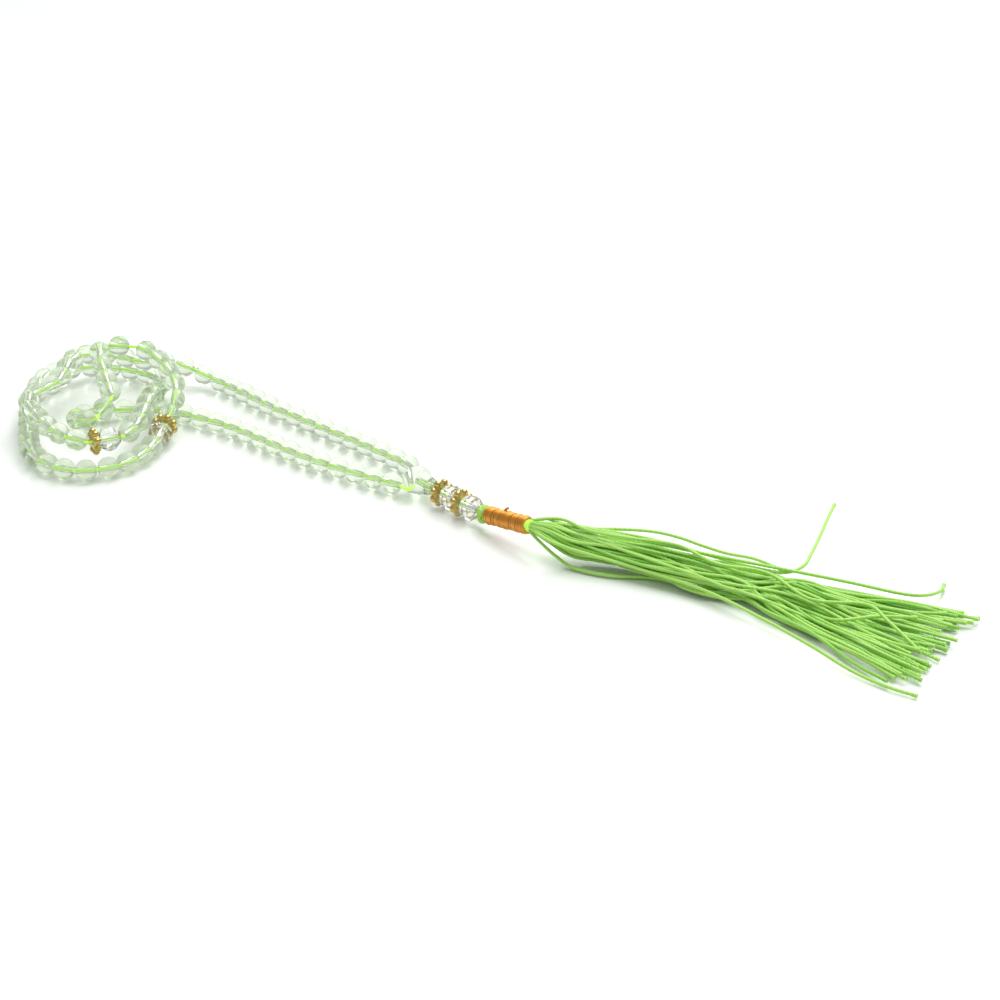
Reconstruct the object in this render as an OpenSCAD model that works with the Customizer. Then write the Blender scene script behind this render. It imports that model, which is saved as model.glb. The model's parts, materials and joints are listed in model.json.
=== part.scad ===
// Misbaha: a closed strand of clear beads laid down in loops, with a pendant and a thread tassel.
// Millimetres, +Z up. The strand lies on z = 0 and the tassel points along +X.

/* [Beads] */
// Diameter of a round bead; the laid loops grow and shrink with it
bead_d = 6; // [4.5:0.1:8]
// Bore through every bead and spacer
bore_d = 1.5; // [1.2:0.05:2]
// Play between neighbouring beads
bead_gap = 0.1; // [0.08:0.01:0.11]

/* [Markers and pendant] */
// Diameter of a faceted bead
facet_d = 7; // [5.8:0.1:7.2]
// Length of a faceted bead along its bore
facet_len = 6.2; // [5:0.1:6.6]
// Outer diameter of a daisy spacer
daisy_d = 7.6; // [6.2:0.1:8]
// Thickness of a daisy spacer at its granules
daisy_t = 2; // [1.6:0.05:2.2]
// Granules round a daisy spacer
granules = 8; // [7:1:9]
// Diameter of the leader bead
leader_d = 8; // [7:0.1:9.6]
// Reach of the leader bead's stem from its centre
leader_reach = 7.4; // [6:0.1:9]

/* [Cord] */
// Diameter of the loop cord and the pendant cord
cord_d = 0.9; // [0.6:0.05:1]

/* [Tassel] */
// Diameter of the knotted neck
neck_d = 5.2; // [4.2:0.1:6.2]
// Length of the wire binding
binding_len = 17.2; // [12:0.1:21]
// Outer diameter of the wire binding
binding_d = 4.8; // [4:0.1:5.8]
// Diameter of the binding wire
wire_d = 0.7; // [0.4:0.05:0.8]
// Diameter of one tassel thread
thread_d = 0.9; // [0.7:0.05:1.2]

/* [Hidden] */
$fn = 48;
SECTION = 33;
LOWER = 14;
UPPER = 18;
// First bead of each group in the laid pile, counted from the near arm, and the end of the last one
GROUP_AT = [14, 24, 33, 44, 55, 66, 81];
GROUPS = len(GROUP_AT) - 1;

// Moves the laid loops so that the part's own zero is under the middle of its box
ORIGIN = [-117.82, -0.28, 0];
// The way below is laid for this bead diameter
LAID_FOR = 6;
lay = bead_d / LAID_FOR;
// Play between two pieces that don't run on each other
loose = 0.1;
slack = 0.3;

// The cord's way through the beads, from the leader bead's near mouth round to its far mouth
ROUTE = [
    // near arm
    [104.2, -0.9, 3.2], [97, -0.4, 3.06], [86, 0.4, 3.06], [74, 1.6, 3.06], [58, 5, 3.06], [41, 9, 3.06],
    [25, 10, 3.06],
    // under the column, then round a small loop up to the crossing
    [16, 9, 3.06], [9, 5.8, 3.1], [2.7, 1.1, 3.1], [-0.9, -5, 3.5], [0.2, -11.4, 4.4], [6, -15, 5.9],
    [11.6, -12.9, 7.7], [10.9, -6.8, 9.1],
    // crossing strand, top arc and column
    [6.8, -2.6, 10.3], [2.6, 0.8, 11.7], [-1.5, 4.3, 13.5], [-5.7, 7.8, 15.7], [-8.8, 12.2, 17.6],
    [-5.3, 16.8, 17.6], [0.8, 17.8, 16.8], [6.5, 17.2, 15.8], [11.1, 15.7, 14.6], [15.4, 13.6, 13.4],
    [19.3, 11, 12.2], [22.7, 6.8, 9.8], [24.8, 1.5, 6.8],
    // first marker and the outer loop
    [27.3, -5.5, 4], [29.5, -12, 3.6], [31.5, -19, 3.06], [31.5, -27, 3.06], [28, -34, 3.06],
    [22, -38.5, 3.06], [13, -38.5, 3.06], [4, -34, 3.06], [-4, -26, 3.06], [-12, -17, 3.6],
    // left side and back
    [-19, -8, 4.5], [-24, 1, 5.5], [-27, 10, 5.5], [-26, 19, 4.5], [-21, 26, 3.5], [-13, 29.5, 3.06],
    [-4, 29, 3.06], [4, 24.5, 3.06], [10, 17, 4.5],
    // second loop
    [14, 9, 9], [18, 0, 9.5], [23, -9, 9], [26, -17, 8], [26, -24, 8],
    // second marker, front left and the bulge
    [23, -29.5, 8], [14, -30.5, 8.3], [6, -28.5, 8.8], [-1, -25, 9], [-9, -20, 9.5], [-13, -13, 10],
    // upper layer over the left side and back
    [-12, -5, 10], [-15, 3, 11], [-19, 11, 11.5], [-19, 19, 10.5], [-13, 24, 9.5], [-6, 24.1, 9.1],
    [0, 27.1, 9.3], [4, 32, 7.5], [9, 35.5, 4.6],
    // far arm
    [16, 35.5, 3.1], [28, 32, 3.06], [41, 27.5, 3.06], [57, 23.5, 3.06], [73, 19.5, 3.06],
    [84, 16.6, 3.06], [95, 13.4, 3.06], [103, 9, 3.4]
];
// Steps of the smoothed way between two of its points, and halvings when a bead's end is sought on it
STEPS = 8;
HALVINGS = 14;

// Pieces on the strand in order: 33 beads, marker, 33 beads, marker, 33 beads
pitch_bead = bead_d + bead_gap;
MARKER_PITCH = 9.5;
pitch_marker = MARKER_PITCH * lay;
ITEMS = 3 * SECTION + 2;
pitch = [for (i = [0:ITEMS - 1]) i == SECTION || i == 2 * SECTION + 1 ? pitch_marker : pitch_bead];
function item_of(bead) = bead + (bead >= SECTION ? 1 : 0) + (bead >= 2 * SECTION ? 1 : 0);

// Smooth curve through hand-set points
function curve_at(a, b, c, d, t) =
    0.5 * (2 * b + (c - a) * t + (2 * a - 5 * b + 4 * c - d) * t * t + (3 * b - a - 3 * c + d) * t * t * t);
function smooth(p, n) =
    let (q = concat([2 * p[0] - p[1]], p, [2 * p[len(p) - 1] - p[len(p) - 2]]))
    concat(
        [for (i = [0:len(p) - 2], k = [0:n - 1]) curve_at(q[i], q[i + 1], q[i + 2], q[i + 3], k / n)],
        [p[len(p) - 1]]
    );
fine = smooth(ROUTE * lay, STEPS);

// Walk along the curve: an end lies one pitch from the last end and both pitches from the one before
function past(p, a, b, la, lb) = norm(p - b) >= lb && norm(p - a) >= la + lb;
function span_of(i, a, b, la, lb) = past(fine[i + 1], a, b, la, lb) ? i : span_of(i + 1, a, b, la, lb);
function part_of(p, q, a, b, la, lb, lo, hi, n) =
    n == 0 ? hi
    : past(p + (q - p) * (lo + hi) / 2, a, b, la, lb) ? part_of(p, q, a, b, la, lb, lo, (lo + hi) / 2, n - 1)
    : part_of(p, q, a, b, la, lb, (lo + hi) / 2, hi, n - 1);
function walk(k, i, a, b, la, out) =
    k == ITEMS ? out
    : let (
        j = span_of(i, a, b, la, pitch[k]),
        t = part_of(fine[j], fine[j + 1], a, b, la, pitch[k], 0, 1, HALVINGS),
        p = fine[j] + (fine[j + 1] - fine[j]) * t
    ) walk(k + 1, j, b, p, pitch[k], concat(out, [p]));
ends = walk(0, 0, fine[0], fine[0], 0, [fine[0]]);

// Leader bead: beside the near arm's first bead, on the table
LEADER_TURN = 30;
CROSS_TURN = 121.3;
CROSS_OFFSET = 0.39;
leader_r = leader_d / 2;
first_bead = (ends[0] + ends[1]) / 2;
leader_step = sqrt(pow(bead_d / 2 + leader_r + loose, 2) - pow(leader_r - first_bead.z, 2));
leader_at = [
    first_bead.x + leader_step * cos(LEADER_TURN),
    first_bead.y + leader_step * sin(LEADER_TURN),
    leader_r
];
cross_dir = [cos(CROSS_TURN), sin(CROSS_TURN), 0];
cross_mid = leader_at + CROSS_OFFSET * leader_r * [-cross_dir.y, cross_dir.x, 0];
cross_half = leader_r * sqrt(1 - CROSS_OFFSET * CROSS_OFFSET);
function cross_at(s) = cross_mid + s * cross_dir;

// Pendant: a straight row out of the leader's stem
PENDANT_TURN = -19.5;
pendant_dir = [cos(PENDANT_TURN), sin(PENDANT_TURN), 0];
pendant_z = max(leader_r, daisy_d / 2 + loose, facet_d / 2 + loose);
function pendant_at(s) = [leader_at.x, leader_at.y, pendant_z] + s * pendant_dir;
STEM_R = 2;
swing_at = leader_reach + slack;
daisy_1_at = leader_reach + 1.8 + daisy_t / 2;
bead_1_at = daisy_1_at + daisy_t / 2 + loose + facet_len / 2;
daisy_2_at = bead_1_at + facet_len / 2 + loose + daisy_t / 2;
bead_2_at = daisy_2_at + daisy_t / 2 + loose + facet_len / 2;
neck_at = bead_2_at + facet_len / 2 + slack;
neck_len = 0.66 * neck_d;
STEM_CORD_AT = 1.2;

// Binding: tilted up from the neck, with the tassel after it
BINDING_TURN = -17;
BINDING_LIFT = 8.2;
binding_dir = [
    cos(BINDING_TURN) * cos(BINDING_LIFT),
    sin(BINDING_TURN) * cos(BINDING_LIFT),
    sin(BINDING_LIFT)
];
binding_at = pendant_at(neck_at + neck_len + slack) + [0, 0, 0.4];
function binding_to(s) = binding_at + s * binding_dir;
wire_pitch = 1.03 * wire_d;
turns = floor(binding_len / wire_pitch);
binding_bore = binding_d - 2 * wire_d;
core_d = binding_bore - loose;

// Tassel: hand-set middle lines as [x, y, z, width, height], counted from the binding's end
tassel_at = binding_to(binding_len);
TASSEL_Z = 7.1;
ROOT_WAY = [
    [1, -0.2, TASSEL_Z, 3.4, 3.4], [6, 0.4, 6.5, 7, 5.5], [13.5, 0.6, 5.2, 11, 7.4], [29, 3.4, 4.4, 10.5, 7],
    [47, 3.6, 3.7, 12, 6.2], [60, 7, 3.2, 14, 5.4]
];
FAR_WAY = [[61.6, 12, 2.9, 4.6, 5], [76, 12.4, 2.1, 7.6, 4], [92, 15.4, 1.6, 8.6, 3], [109, 18, 1, 9.6, 1.8]];
MID_WAY = [[61.6, 7, 2.9, 4.4, 5], [76, 4, 2.1, 8, 4], [92, 3.6, 1.6, 10.6, 3], [107, 3, 1.1, 12, 2]];
NEAR_WAY = [[64.2, 1.4, 2.8, 4.2, 4.6], [76, -4.6, 2.1, 8, 4], [92, -8.4, 1.6, 11, 3], [112, -14, 1, 13, 1.8]];
UP_WAY = [[67, 16.2, 3.4], [65.5, 22, 4.6], [63.5, 32, 5.2], [61, 43, 5.6], [59, 54.2, 6]];
FAR_STRAY_WAY = [[94, 20.4, 2.2], [95.6, 25, 1.8], [97, 30, 1.2], [97.4, 34.6, 0.9]];
NEAR_STRAY_WAY = [[84, -15.6, 1], [93, -18.4, 0.8], [103, -20.4, 0.8], [113.6, -22, 0.8]];
function on_table(way) = [for (p = way) [tassel_at.x + p.x, tassel_at.y + p.y, p.z]];
BUNDLE_SIDES = 12;
CORD_SIDES = 8;

// Colours
CLEAR = [0.93, 0.96, 0.94, 0.35];
LIME = [0.5, 0.85, 0.2];
GOLD = [0.78, 0.62, 0.24];
COPPER = [0.8, 0.42, 0.14];

// Ring of points across direction d at p
function ring(p, d, w, h, n) =
    let (u = cross(d, [0, 0, 1]) / norm(cross(d, [0, 0, 1])), v = cross(u, d / norm(d)))
    [for (i = [0:n - 1]) p + w / 2 * cos(360 * i / n) * u + h / 2 * sin(360 * i / n) * v];
function band(i, k, n) = [
    for (j = [0:n - 1])
        let (a = i * n + j, b = i * n + (j + 1) % n, c = k * n + (j + 1) % n, d = k * n + j)
        each [[a, b, c], [a, c, d]]
];
function way_dir(p, i, closed) =
    let (
        m = len(p),
        a = closed ? (i + m - 1) % m : max(i - 1, 0),
        b = closed ? (i + 1) % m : min(i + 1, m - 1),
        back = p[i] - p[a],
        on = p[b] - p[i]
    )
    (norm(back) > 0 ? back / norm(back) : [0, 0, 0]) + (norm(on) > 0 ? on / norm(on) : [0, 0, 0]);

// Tube along points p; w and h list its width and height at each of them
module tube(p, w, h, n, closed = false) {
    m = len(p);
    points = [for (i = [0:m - 1]) each ring(p[i], way_dir(p, i, closed), w[i], h[i], n)];
    sides = [for (i = [0:closed ? m - 1 : m - 2]) each band(i, (i + 1) % m, n)];
    caps = closed ? [] : [[for (j = [n - 1:-1:0]) j], [for (j = [0:n - 1]) (m - 1) * n + j]];
    polyhedron(points = points, faces = concat(sides, caps));
}

module cord(p, d, closed = false) {
    tube(p, [for (q = p) d], [for (q = p) d], CORD_SIDES, closed);
}

module bundle(way) {
    fine_way = smooth(way, 3);
    tube(
        [for (q = fine_way) on_table([q])[0]],
        [for (q = fine_way) q[3]],
        [for (q = fine_way) q[4]],
        BUNDLE_SIDES
    );
}

// Places its child, drawn along Z, at p along direction d
module lay_along(p, d) {
    translate(ORIGIN + p)
        rotate([0, acos(d.z / norm(d)), atan2(d.y, d.x)])
            children();
}

module bore(len) {
    cylinder(d = bore_d, h = len, center = true);
}

module round_bead() {
    difference() {
        sphere(d = bead_d);
        bore(bead_d + 1);
    }
}

module strand_bead(bead) {
    i = item_of(bead);
    color(CLEAR)
        lay_along((ends[i] + ends[i + 1]) / 2, ends[i + 1] - ends[i])
            round_bead();
}

// Cut bead: nine flat sides, widest in the middle
module faceted_bead() {
    r = facet_d / 2;
    h = facet_len / 2;
    difference() {
        rotate_extrude($fn = 9)
            polygon([
                [0, -h], [0.42 * r, -h], [0.88 * r, -0.5 * h], [r, 0], [0.88 * r, 0.5 * h], [0.42 * r, h], [0, h]
            ]);
        bore(facet_len + 1);
    }
}

// Daisy spacer: granules round a ring
module daisy() {
    granule_r = daisy_t / 2;
    granule_at = daisy_d / 2 - granule_r;
    difference() {
        union() {
            cylinder(r = granule_at, h = 0.6 * daisy_t, center = true);
            for (i = [0:granules - 1])
                rotate(360 * (i + 0.5) / granules)
                    translate([granule_at, 0, 0])
                        sphere(r = granule_r);
        }
        bore(daisy_t + 1);
    }
}

// Strand cord: one closed loop through every bead and the leader's cross bore
near_turn = [
    cross_at(-cross_half - 0.5),
    cross_at(-cross_half - 1.9) + [0.1, -0.3, 0],
    [(ends[0].x + cross_at(-cross_half).x) / 2 + 0.3, cross_at(-cross_half).y - 1.7, 3.7]
];
// Where the cord folds sharply it first stands clear of the bead's mouth, shares of the bead's diameter
FOLD_BEND = 60;
function seg_dir(i) = (ends[i + 1] - ends[i]) / norm(ends[i + 1] - ends[i]);
function folded(i) = i > 0 && i < ITEMS && seg_dir(i - 1) * seg_dir(i) < cos(FOLD_BEND);
function stops_at(i) =
    !folded(i) ? [ends[i]]
    : [
        ends[i] + 0.12 * bead_d * seg_dir(i - 1),
        ends[i] + 0.09 * bead_d * seg_dir(i - 1) + 0.17 * bead_d * seg_dir(i),
        ends[i] + 0.37 * bead_d * seg_dir(i)
    ];
// The straighter parts of the two arms keep every second bead's end
function kept(i) = (i < LOWER - 5 || i > ITEMS - UPPER + 9) ? i % 2 == 0 : true;
leader_way = smooth(
    concat(
        [ends[ITEMS]],
        [cross_at(cross_half + 0.5), cross_at(0.4 * cross_half), cross_at(-0.5 * cross_half)],
        near_turn,
        [ends[0]]
    ),
    2
);

module strand_cord() {
    color(LIME)
        translate(ORIGIN) {
            cord(
                concat(
                    [for (i = [0:ITEMS - 1]) if (kept(i)) each stops_at(i)],
                    [for (i = [0:len(leader_way) - 2]) leader_way[i]]
                ),
                cord_d,
                closed = true
            );
            cord([for (s = [STEM_CORD_AT, leader_reach]) pendant_at(s)], cord_d);
        }
}

// Leader bead: a ball with a turned stem, bored across for the loop and along for the pendant
module leader_bead() {
    color(CLEAR)
        translate(ORIGIN)
            difference() {
                union() {
                    translate(leader_at)
                        sphere(r = leader_r);
                    translate([leader_at.x, leader_at.y, pendant_z])
                        rotate([0, 90, PENDANT_TURN])
                            cylinder(r1 = 0.9 * leader_r, r2 = STEM_R, h = leader_reach);
                }
                translate(cross_mid)
                    rotate([0, 90, CROSS_TURN])
                        bore(leader_d + 6);
                translate([leader_at.x, leader_at.y, pendant_z])
                    rotate([0, 90, PENDANT_TURN])
                        cylinder(d = bore_d, h = leader_reach + 1);
            }
}

module on_pendant(s) {
    lay_along(pendant_at(s), pendant_dir)
        children();
}

module pendant_cord() {
    color(LIME)
        on_pendant(swing_at)
            cylinder(d = cord_d, h = neck_at - slack - swing_at);
}

// Markers: daisy and faceted bead share one stretch of the strand, with the play kept at its two ends
function marker_ends(m) = let (i = m == 1 ? SECTION : 2 * SECTION + 1) [ends[i], ends[i + 1]];
function marker_play(m) = norm(marker_ends(m)[1] - marker_ends(m)[0]) - daisy_t - facet_len - loose;

module on_marker(m, s) {
    e = marker_ends(m);
    d = (m == 1 ? 1 : -1) * (e[1] - e[0]);
    lay_along(e[m - 1] + s * d / norm(d), d)
        children();
}

module marker_daisy(m) {
    color(GOLD)
        on_marker(m, marker_play(m) / 2 + daisy_t / 2)
            daisy();
}

module marker_bead(m) {
    color(CLEAR)
        on_marker(m, marker_play(m) / 2 + daisy_t + loose + facet_len / 2)
            faceted_bead();
}

module pendant_daisy(k) {
    color(GOLD)
        on_pendant(k == 1 ? daisy_1_at : daisy_2_at)
            daisy();
}

module pendant_bead(k) {
    color(CLEAR)
        on_pendant(k == 1 ? bead_1_at : bead_2_at)
            faceted_bead();
}

module pile_beads(g) {
    for (b = [GROUP_AT[g - 1]:GROUP_AT[g] - 1])
        strand_bead(b);
}

// Knot of thread loops between the last bead and the binding
module neck_knot() {
    r = neck_d / 2;
    color(LIME)
        on_pendant(neck_at)
            rotate_extrude()
                polygon([
                    [0, 0], [0.3 * r, 0], [0.75 * r, 0.2 * neck_len], [r, 0.45 * neck_len],
                    [0.92 * r, 0.75 * neck_len], [0.7 * r, neck_len], [0, neck_len]
                ]);
}

// Close turns of wire in one sleeve, with the cut end of the wire standing out on top
module wire_binding() {
    wire_r = wire_d / 2;
    outline = [
        for (i = [0:turns - 1], a = [-60:40:60])
            [binding_d / 2 - wire_r + wire_r * cos(a), (i + 0.5) * wire_pitch + wire_r * sin(a)]
    ];
    sleeve = [for (t = [0.1, turns - 0.1]) [binding_bore / 2, t * wire_pitch]];
    color(COPPER)
        lay_along(binding_at, binding_dir)
            union() {
                rotate_extrude()
                    polygon(concat([sleeve[0]], outline, [sleeve[1]]));
                translate([-(binding_d / 2 - wire_r), 0, 0.45 * binding_len])
                    rotate([0, -60, 0])
                        cylinder(d = wire_d, h = 2.4 * wire_d);
            }
}

module binding_core() {
    color(LIME)
        lay_along(binding_to(loose), binding_dir)
            cylinder(d = core_d, h = binding_len - loose);
}

// Tassel: gathered at the binding, then spread in three soft locks with a few threads astray
module tassel_root() {
    color(LIME)
        translate(ORIGIN)
            bundle(ROOT_WAY);
}

module tassel_far() {
    color(LIME)
        translate(ORIGIN)
            bundle(FAR_WAY);
}

module tassel_mid() {
    color(LIME)
        translate(ORIGIN)
            bundle(MID_WAY);
}

module tassel_near() {
    color(LIME)
        translate(ORIGIN)
            bundle(NEAR_WAY);
}

module stray(way) {
    color(LIME)
        translate(ORIGIN)
            cord(on_table(smooth(way, 3)), thread_d);
}

strand_cord();
leader_bead();
pendant_cord();
neck_knot();
wire_binding();
binding_core();
tassel_root();
tassel_far();
tassel_mid();
tassel_near();
stray(UP_WAY);  // stray_up
stray(FAR_STRAY_WAY);  // stray_far
stray(NEAR_STRAY_WAY);  // stray_near
for (k = [1:2]) {
    marker_daisy(k);
    marker_bead(k);
    pendant_daisy(k);
    pendant_bead(k);
}
for (k = [1:LOWER])
    strand_bead(k - 1);
for (k = [1:UPPER])
    strand_bead(3 * SECTION - UPPER + k - 1);
for (k = [1:GROUPS])
    pile_beads(k);
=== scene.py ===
import json
import math
import random

import bpy
from mathutils import Matrix, Vector


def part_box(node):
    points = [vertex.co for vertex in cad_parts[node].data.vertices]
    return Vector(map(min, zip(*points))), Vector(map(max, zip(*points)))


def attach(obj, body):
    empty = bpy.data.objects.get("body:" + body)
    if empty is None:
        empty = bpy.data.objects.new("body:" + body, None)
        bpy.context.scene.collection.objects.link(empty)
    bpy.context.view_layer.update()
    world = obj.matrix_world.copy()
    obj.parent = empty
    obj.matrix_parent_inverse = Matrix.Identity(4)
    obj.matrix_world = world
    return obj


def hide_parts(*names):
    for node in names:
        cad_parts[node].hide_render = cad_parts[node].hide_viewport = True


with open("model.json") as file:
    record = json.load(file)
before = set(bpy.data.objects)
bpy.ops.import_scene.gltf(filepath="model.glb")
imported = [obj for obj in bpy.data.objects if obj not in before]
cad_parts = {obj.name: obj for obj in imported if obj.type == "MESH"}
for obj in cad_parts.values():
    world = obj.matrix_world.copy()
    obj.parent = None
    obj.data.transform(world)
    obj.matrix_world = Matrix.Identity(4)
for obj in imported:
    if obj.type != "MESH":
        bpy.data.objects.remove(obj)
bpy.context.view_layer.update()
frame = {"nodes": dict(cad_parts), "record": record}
joints = {j["name"]: j for j in frame["record"]["behaviour"]["joints"]}

# Camera: a long lens, well above the table, looking along the strand from the tassel's side.
# It aims at a point on the table close to the middle of the part.
CAMERA_AT = (0.3136, -0.4891, 0.2603)
CAMERA_AIM = Vector((0.0102, 0.0107, 0))
camera_data = bpy.data.cameras.new("camera")
camera_data.lens = 86.4
camera_data.sensor_width = 36
camera = bpy.data.objects.new("camera", camera_data)
camera.location = CAMERA_AT
camera.rotation_euler = (CAMERA_AIM - camera.location).to_track_quat("-Z", "Y").to_euler()
bpy.context.scene.collection.objects.link(camera)
bpy.context.scene.camera = camera

# Tassel threads: limp two-ply threads of glossy lime rayon, gathered in the wire binding, in millimetres.
# They bulge out of it, run on in a loose bundle and part into three locks with blunt, cut ends.
# The first ones lie inside the bundle and are joined for each lock, and the rest are free cords.
MM = 1000
swing = Vector(joints["tassel_swing"]["pos_m"]) * MM
TASSEL = Vector((swing.x + 19.94, swing.y - 6.27, 0))
THREAD_D = 0.95
THREAD_LOBE = 0.07
PLY_TURN = 2.6
RING_STEP = 0.45
FLARE_LENGTH = 1.6
CURVE_STEPS = 24
OUTLINE_POINTS = 10
LOWEST = 0.55
GOLDEN_TURN = 2.39996
FULL_TURN = 6.28
LIME = "#B2E66C"
LIME_DEEP = "#97D458"


def linear(hex_colour):
    parts = [int(hex_colour[i : i + 2], 16) / 255 for i in (1, 3, 5)]
    return [p / 12.92 if p <= 0.04045 else ((p + 0.055) / 1.055) ** 2.4 for p in parts] + [1.0]


def material(name, colour, rough, **values):
    made = bpy.data.materials.new(name)
    made.use_nodes = True
    shader = made.node_tree.nodes["Principled BSDF"]
    shader.inputs["Base Color"].default_value = linear(colour)
    shader.inputs["Roughness"].default_value = rough
    for key, value in values.items():
        shader.inputs[key.replace("_", " ")].default_value = value
    return made


def thread_material(name, colour):
    made = material(name, colour, 0.38, Sheen_Weight=0.3, Specular_IOR_Level=0.5)
    made.node_tree.nodes["Principled BSDF"].inputs["Sheen Tint"].default_value = linear("#E6FF9A")
    return made


def smooth_line(stops, step):
    """Points every step millimetres along a smooth curve through the stops."""
    q = [2 * stops[0] - stops[1], *stops, 2 * stops[-1] - stops[-2]]
    dense = []
    for i in range(len(stops) - 1):
        a, b, c, d = q[i : i + 4]
        for k in range(CURVE_STEPS):
            t = k / CURVE_STEPS
            bend = (2 * a - 5 * b + 4 * c - d) * t**2
            dense.append(0.5 * (2 * b + (c - a) * t + bend + (3 * b - a - 3 * c + d) * t**3))
    dense.append(stops[-1])
    reach = [0]
    for a, b in zip(dense, dense[1:]):
        reach.append(reach[-1] + (b - a).length)
    count = max(8, round(reach[-1] / step))
    line, j = [], 0
    for k in range(count + 1):
        s = reach[-1] * k / count
        while j < len(dense) - 2 and reach[j + 1] < s:
            j += 1
        share = (s - reach[j]) / max(1e-9, reach[j + 1] - reach[j])
        line.append(dense[j].lerp(dense[j + 1], share))
    return line, reach[-1]


def ply_profile(name, diameter, lobe):
    """The closed outline of two plies side by side, or of a round wire where lobe is 0."""
    data = bpy.data.curves.new(name, "CURVE")
    data.dimensions = "2D"
    outline = data.splines.new("POLY")
    outline.points.add(OUTLINE_POINTS - 1)
    outline.use_cyclic_u = True
    for i, point in enumerate(outline.points):
        turn = 2 * math.pi * i / OUTLINE_POINTS
        r = diameter / 2 / MM * (1 - lobe + lobe * math.cos(2 * turn))
        point.co = (r * math.cos(turn), r * math.sin(turn), 0, 1)
    made = bpy.data.objects.new(name, data)
    bpy.context.scene.collection.objects.link(made)
    return made


def select_only(*objects):
    bpy.ops.object.select_all(action="DESELECT")
    for o in objects:
        o.select_set(True)
    bpy.context.view_layer.objects.active = objects[0]


def sweep(name, line, profile, ply_turn, flare=0, closed=False):
    """A mesh tube of the profile along a line in millimetres, turning as it goes and flared at its end."""
    data = bpy.data.curves.new(name, "CURVE")
    data.dimensions = "3D"
    data.bevel_mode = "OBJECT"
    data.bevel_object = profile
    data.use_fill_caps = not closed
    spline = data.splines.new("POLY")
    spline.points.add(len(line) - 1)
    spline.use_cyclic_u = closed
    step = (line[1] - line[0]).length
    for i, (point, place) in enumerate(zip(spline.points, line)):
        point.co = (*(place / MM), 1)
        point.tilt = 2 * math.pi * i * step / ply_turn
        left = (len(line) - 1 - i) * step
        point.radius = 1 + flare * max(0, 1 - left / FLARE_LENGTH)
    made = bpy.data.objects.new(name, data)
    bpy.context.scene.collection.objects.link(made)
    select_only(made)
    bpy.ops.object.convert(target="MESH")
    made = bpy.context.object
    bpy.ops.object.mode_set(mode="EDIT")
    bpy.ops.mesh.select_all(action="SELECT")
    bpy.ops.mesh.remove_doubles(threshold=1e-7)
    bpy.ops.mesh.normals_make_consistent(inside=False)
    bpy.ops.object.mode_set(mode="OBJECT")
    bpy.ops.object.shade_smooth_by_angle(angle=math.radians(50))
    made.name = name
    return made


ply = ply_profile("ply_outline", THREAD_D, THREAD_LOBE)
lime_light = thread_material("lime rayon, bright", LIME)
lime_deep = thread_material("lime rayon, deep", LIME_DEEP)
chance = random.Random(33)

# Stops down the bundle: distance from the binding, middle sideways, middle height, width and height.
BUNDLE = [
    (-2.0, 0.5, 6.7, 2.6, 2.6),
    (0.8, -0.2, 7.0, 3.4, 3.4),
    (6, 0.3, 6.5, 7.4, 5.6),
    (13.5, 0.6, 5.1, 10.8, 7.6),
    (22, 2.0, 4.7, 10.4, 7.4),
    (33, 3.4, 4.2, 9.8, 6.6),
    (47, 3.6, 3.8, 11.6, 6.0),
    (58, 5.4, 3.4, 15, 5.4),
]
# Then for each lock, far, middle and near: distance, middle sideways, width and depth.
LOCKS = {
    "far": [(68, 12.0, 6.0, 4.6), (80, 12.8, 8.6, 3.8), (94, 15.0, 10.4, 3.2), (109, 17.4, 12.0, 2.6)],
    "middle": [(68, 5.6, 7.0, 4.8), (80, 4.0, 10.4, 4.2), (94, 3.0, 13.4, 3.6), (109, 1.6, 16.4, 2.8)],
    "near": [(68, -1.4, 6.4, 4.4), (80, -5.4, 9.0, 3.6), (94, -9.6, 12.0, 3.2), (109, -13.8, 14.0, 2.6)],
}
LOCK_EDGE = 0.27
LOCK_SHARES = {"far": (0.62, 0.36), "middle": (0, LOCK_EDGE), "near": (-0.62, 0.36)}
STANDS_FOR = {"far": ["tassel_far"], "middle": ["tassel_root", "tassel_mid"], "near": ["tassel_near"]}
COUNT = 56
FREE = 33


def bundle_line(k):
    """The lock that thread k ends in, and its stops. Its place in the bundle is spread out over the lock."""
    out = math.sqrt((k + 0.5) / COUNT)
    turn = GOLDEN_TURN * k
    side = out * math.cos(turn)
    lock = "far" if side > LOCK_EDGE else "near" if side < -LOCK_EDGE else "middle"
    middle, half = LOCK_SHARES[lock]
    across = max(-1, min(1, (side - middle) / half))
    rise = 0.5 + 0.5 * math.sin(turn) * out
    wander = chance.uniform(-1.1, 1.1)
    ripple, ripple_at = chance.uniform(0.4, 1.5), chance.uniform(0, FULL_TURN)
    cut = chance.uniform(-4.5, 3.0)
    stops = []
    for x, y, z, wide, high in BUNDLE:
        away = turn + wander * max(0, x) / 40
        grow = min(1, max(0, x) / 20)
        wave = ripple * grow * math.sin(x / 7.5 + ripple_at)
        wave_up = 0.5 * ripple * grow * math.cos(x / 8.5 + ripple_at)
        up = z + (high - THREAD_D) / 2 * out * math.sin(away) + wave_up
        across_here = (wide - THREAD_D) / 2 * out * math.cos(away)
        stops.append(Vector((x, y + across_here + wave, max(LOWEST, up))))
    places = LOCKS[lock]
    for i, (x, y, wide, deep) in enumerate(places):
        last = i == len(places) - 1
        x = x + (cut if last else chance.uniform(-2, 2))
        wave = 0.7 * ripple * math.sin(x / 5.2 + ripple_at)
        lift = LOWEST + (deep - 1) * (rise if i < 2 else chance.random())
        stops.append(Vector((x, y + across * (wide - THREAD_D) / 2 + (0 if last else wave), lift)))
    return lock, [TASSEL + s for s in stops]


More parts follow.
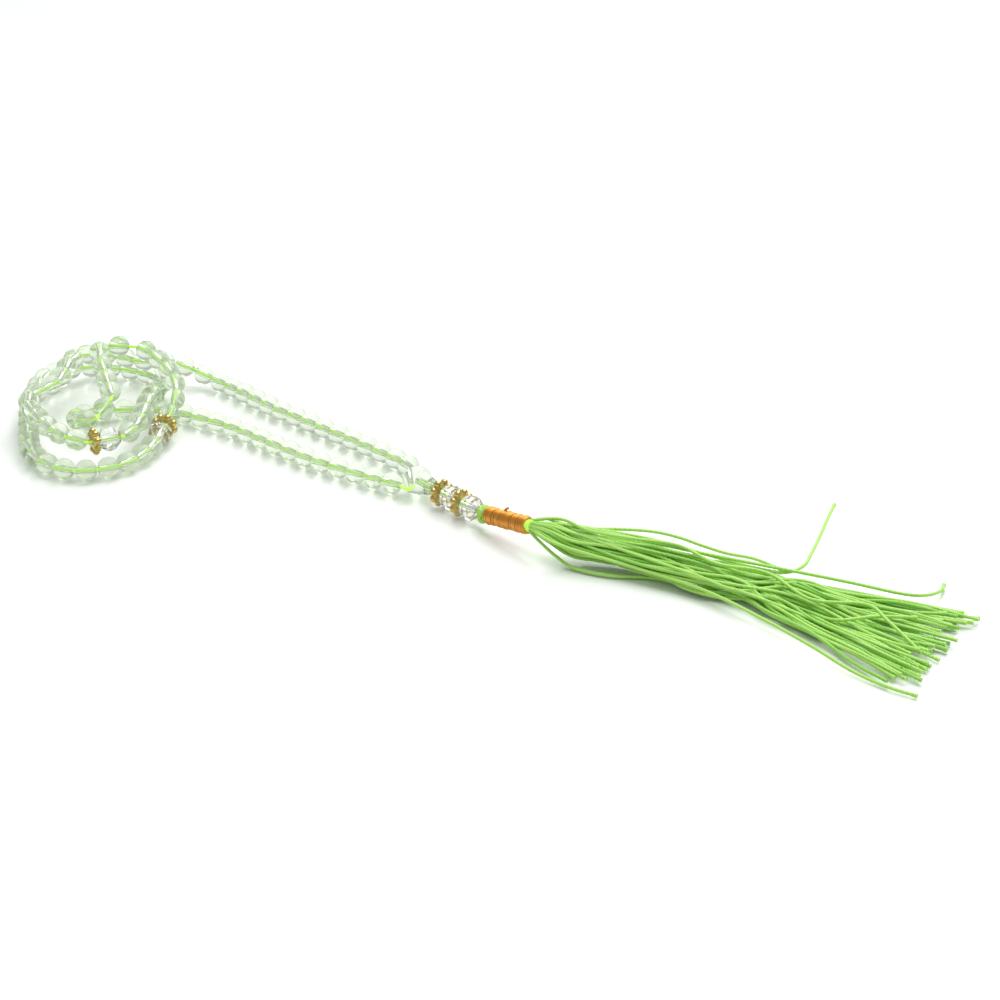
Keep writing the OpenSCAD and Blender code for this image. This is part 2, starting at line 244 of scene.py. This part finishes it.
inner_threads = {"far": [], "middle": [], "near": []}
for k in range(COUNT):
    lock, stops = bundle_line(k)
    line, length = smooth_line(stops, RING_STEP)
    name = f"thread_{lock}_{k + 1}"
    turn_way = PLY_TURN * chance.uniform(0.9, 1.15)
    made = sweep(name, line, ply, turn_way, flare=0.22)
    made.data.materials.append(lime_light if k % 3 else lime_deep)
    if k >= COUNT - FREE:
        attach(made, "tassel")
    else:
        inner_threads[lock].append(made)
for lock, threads in inner_threads.items():
    select_only(*threads)
    bpy.ops.object.join()
    heart = bpy.context.object
    heart.name = f"inner_threads_{lock}"
    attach(heart, "tassel")
    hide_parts(*STANDS_FOR[lock])

# Stray threads: the same thread, sprung out of the bundle. One stands away behind it, one lies behind
# the locks, and the rest wind along the near side of the bundle and over the table.
STRAY_FLARE = 0.3
STRAYS = {
    "stray_back": [
        (-1, 0.4, 7.6), (8, 2.6, 8.4), (20, 5.2, 8.2), (32, 8.4, 7.2), (45, 10.8, 5.4), (57, 11.8, 4.6),
        (64, 13.6, 4.4), (66.4, 19, 4.6), (65.3, 26, 4.9), (63.4, 35, 5.3), (61, 45, 5.7), (59, 54, 6),
    ],
    "stray_behind": [
        (-1, -0.4, 7.8), (10, 1.2, 9.2), (24, 4.8, 8), (44, 8, 7), (62, 13, 5.4), (78, 17.8, 3.8),
        (92, 19.8, 3.2), (96.8, 24, 2.2), (98.2, 30, 1.2), (97.4, 34.4, 0.8),
    ],
    "stray_near_tip": [
        (-1, -0.8, 7), (10, -4.6, 6.2), (30, -2.4, 4), (50, -3, 3), (70, -9.4, 2.6), (84, -14.6, 2),
        (96, -19, 0.9), (106, -21.6, 0.7), (113.4, -22, 0.6),
    ],
    "stray_winding": [
        (-1, 0.2, 8), (2.4, 2.8, 8.6), (9.5, 1.0, 9.2), (14.8, 3.2, 8.6), (21, 7.6, 8.2),
        (28, 12.2, 7.4), (34, 14.4, 6.4), (40, 15.8, 5), (46, 17.6, 3.6), (52.4, 20.6, 2.4),
        (60, 20.8, 1.2),
    ],
    "stray_near_loop": [
        (-1, -0.9, 6.4), (2.6, -1.9, 4.6), (9, -3.6, 2.2), (14.6, -4.6, 0.9), (23.8, -3.6, 0.7),
        (33, 0.4, 0.7), (39, 0.4, 1.2), (44.5, -1.8, 1.6), (52, -1.6, 1.2), (60, 1.6, 1.0),
        (72, 3.4, 1.2), (84, -2, 3.4), (92, 4, 3.8), (100, 10, 3),
    ],
    "stray_over": [
        (-1, 0.8, 8.2), (7, 2.4, 9.7), (16, 0.2, 9.6), (26, 2.2, 9.2), (38, 6.6, 8.2), (50, 3.4, 7.6),
        (62, 7.6, 6.2), (76, 2.2, 5), (88, 7.6, 4.4), (96, 2.6, 4), (107, -3.8, 1.6),
    ],
}
STRAY_STANDS_FOR = {"stray_back": "stray_up", "stray_behind": "stray_far", "stray_near_tip": "stray_near"}
for name, stops in STRAYS.items():
    line, length = smooth_line([TASSEL + Vector(s) for s in stops], RING_STEP)
    made = sweep(name, line, ply, PLY_TURN, flare=STRAY_FLARE)
    made.data.materials.append(lime_light)
    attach(made, "tassel")
    if name in STRAY_STANDS_FOR:
        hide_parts(STRAY_STANDS_FOR[name])

# Neck: the tassel's own thread, looped round and through itself in a small knot above the binding.
# Each loop is a closed ring on a squat ball, tipped and turned its own way.
LOOPS = 8
LOOP_POINTS = 44
LOOP_SQUAT = 0.55
LOOP_WAVE = 0.18
neck_lo, neck_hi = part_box("neck_knot")
neck_at = (neck_lo + neck_hi) / 2 * MM
neck_r = (neck_hi.z - neck_lo.z) / 2 * MM
neck_loops = []
for k in range(LOOPS):
    tip_over = 0.35 + 0.42 * (k % 4)
    turned = 0.8 * k
    round_way = Matrix.Rotation(turned, 3, "X") @ Matrix.Rotation(tip_over, 3, "Y")
    size = neck_r - 0.45
    wave = LOOP_WAVE * size
    ring = []
    for i in range(LOOP_POINTS):
        a = 2 * math.pi * i / LOOP_POINTS
        p = round_way @ Vector((wave * math.sin(3 * a + k), size * math.cos(a), size * math.sin(a)))
        p.x *= LOOP_SQUAT
        ring.append(neck_at + p)
    neck_loops.append(sweep(f"neck_loop_{k}", ring, ply, PLY_TURN * 0.7, closed=True))
select_only(*neck_loops)
bpy.ops.object.join()
neck = bpy.context.object
neck.name = "neck_loops"
neck.data.materials.append(lime_light)
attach(neck, "tassel")
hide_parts("neck_knot")

# Wire binding: one length of copper wire, wound close round the threads, with a cut stub left on top.
# The turns are a little uneven, in and out and along, as wire wound by hand is.
WIRE_D = 0.66
BIND_AT = Vector((swing.x + 3.66, swing.y - 1.3, 4.4))
BIND_DIR = (Vector((TASSEL.x, TASSEL.y, 6.853)) - BIND_AT).normalized()
BIND_R = 2.05
COPPER = "#DB9844"
TURNS = 23
TURN_POINTS = 28
NO_TWIST = 1e9
side_dir = BIND_DIR.cross(Vector((0, 0, 1))).normalized()
up_dir = side_dir.cross(BIND_DIR).normalized()
coil = []
for i in range(TURNS * TURN_POINTS + 1):
    turn = i / TURN_POINTS
    a = 2 * math.pi * i / TURN_POINTS
    out = side_dir * math.cos(a) + up_dir * math.sin(a)
    uneven = 0.08 * math.sin(turn * 1.9) + 0.07 * math.sin(turn * 0.7 + 1)
    along = 0.45 + turn * WIRE_D * 1.02 + 0.16 * math.sin(turn * 1.3)
    coil.append(BIND_AT + BIND_DIR * along + out * (BIND_R + uneven))
wire_outline = ply_profile("wire_outline", WIRE_D, 0.0)
wire = sweep("copper_coil", coil, wire_outline, NO_TWIST)
stub_at = BIND_AT + BIND_DIR * 6.6 + up_dir * (BIND_R + 0.2) - side_dir * 0.4
stub_stops = [stub_at, stub_at + up_dir * 0.5 + BIND_DIR * 0.3, stub_at + up_dir * 0.9 + BIND_DIR * 1.2]
stub = sweep("wire_stub", smooth_line(stub_stops, 0.2)[0], wire_outline, NO_TWIST)
copper = material("copper wire", COPPER, 0.3, Metallic=0.85)
for made in (wire, stub):
    made.data.materials.append(copper)
    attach(made, "tassel")
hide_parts("wire_binding")

# The two outlines were only there to be swept, and go once the last tube is made.
for made in (ply, wire_outline):
    bpy.data.objects.remove(made)

# Cord: the soft lime cord that runs through every bead, and the short one through the pendant row.
# The threads' gathered ends inside the binding have the same finish, painted glow and all. The cord glows
# faintly: painted light that stands for the light a real bead gathers onto the cord.
cord_lime_painted_glow = thread_material("lime cord", "#C2F45E")
cord_painted_glow = cord_lime_painted_glow.node_tree.nodes["Principled BSDF"]
# Painted light: a faint lime emission, though the cord is no lamp.
cord_painted_glow.inputs["Emission Color"].default_value = linear("#C6F868")
cord_painted_glow.inputs["Emission Strength"].default_value = 0.3
for name in ("strand_cord", "pendant_cord", "binding_core"):
    node = frame["nodes"][name]
    node.data.materials.clear()
    node.data.materials.append(cord_lime_painted_glow)
    select_only(node)
    bpy.ops.object.shade_smooth_by_angle(angle=math.radians(60))

# Beads: clear round glass beads with a drilled bore, a clear leader and four faceted clear beads.
# The round ones are a little soft and pale green, and the faceted ones are sharp and colourless.
ROUND_BEADS = ("lower", "upper", "pile", "leader")
clear = material("clear glass", "#F3FAEC", 0.1, IOR=1.27, Transmission_Weight=0.86)
faceted = material("faceted glass", "#F6F8F4", 0.03, IOR=1.42, Transmission_Weight=0.95)
for name, node in frame["nodes"].items():
    if "bead" in name:
        node.data.materials.clear()
        round_one = name.startswith(ROUND_BEADS)
        node.data.materials.append(clear if round_one else faceted)
        select_only(node)
        if round_one:
            bpy.ops.object.shade_smooth_by_angle(angle=math.radians(50))

# Spacers: small cast daisies in bright gold plate, one at each marker and two in the pendant row.
# Each is threaded on the cord against its faceted bead.
gold = material("gold plate", "#CDB46C", 0.26, Metallic=1.0)
for name, node in frame["nodes"].items():
    if "daisy" in name:
        node.data.materials.clear()
        node.data.materials.append(gold)
        select_only(node)
        bpy.ops.object.shade_smooth_by_angle(angle=math.radians(40))

# Table: plain white and a little glossy, reaching past the picture on every side.
# It lies a hair below the part, so that no bead touches it.
TABLE_DROP = 0.0002
bpy.ops.mesh.primitive_plane_add(size=8, location=(0, 0, -TABLE_DROP))
table = bpy.context.object
select_only(table)
bpy.ops.object.transform_apply(location=True, rotation=False, scale=False)
table.name = "table"
table.data.materials.append(material("white table", "#F6F7F6", 0.22, Specular_IOR_Level=0.35))

# Light: a wide soft panel overhead, a smaller one from behind the left, and an even pale room.
# Each panel is its name, place in metres, side in metres and watts.
PANELS = (
    ("overhead panel", (0.05, 0.25, 0.95), 0.9, 8.3),
    ("back panel", (-0.25, 0.85, 0.7), 0.6, 4),
)
LIT_POINT = Vector((0.02, 0, 0))
for name, place, size, watts in PANELS:
    lamp_data = bpy.data.lights.new(name, "AREA")
    lamp_data.size = size
    lamp_data.energy = watts
    lamp = bpy.data.objects.new(name.replace(" ", "_"), lamp_data)
    lamp.location = place
    lamp.rotation_euler = (LIT_POINT - lamp.location).to_track_quat("-Z", "Y").to_euler()
    bpy.context.scene.collection.objects.link(lamp)
room = bpy.data.worlds.new("room")
room.use_nodes = True
air = room.node_tree.nodes["Background"]
air.inputs["Color"].default_value = linear("#DDE2DF")
air.inputs["Strength"].default_value = 0.67
bpy.context.scene.world = room
bpy.context.scene.view_settings.view_transform = "Standard"
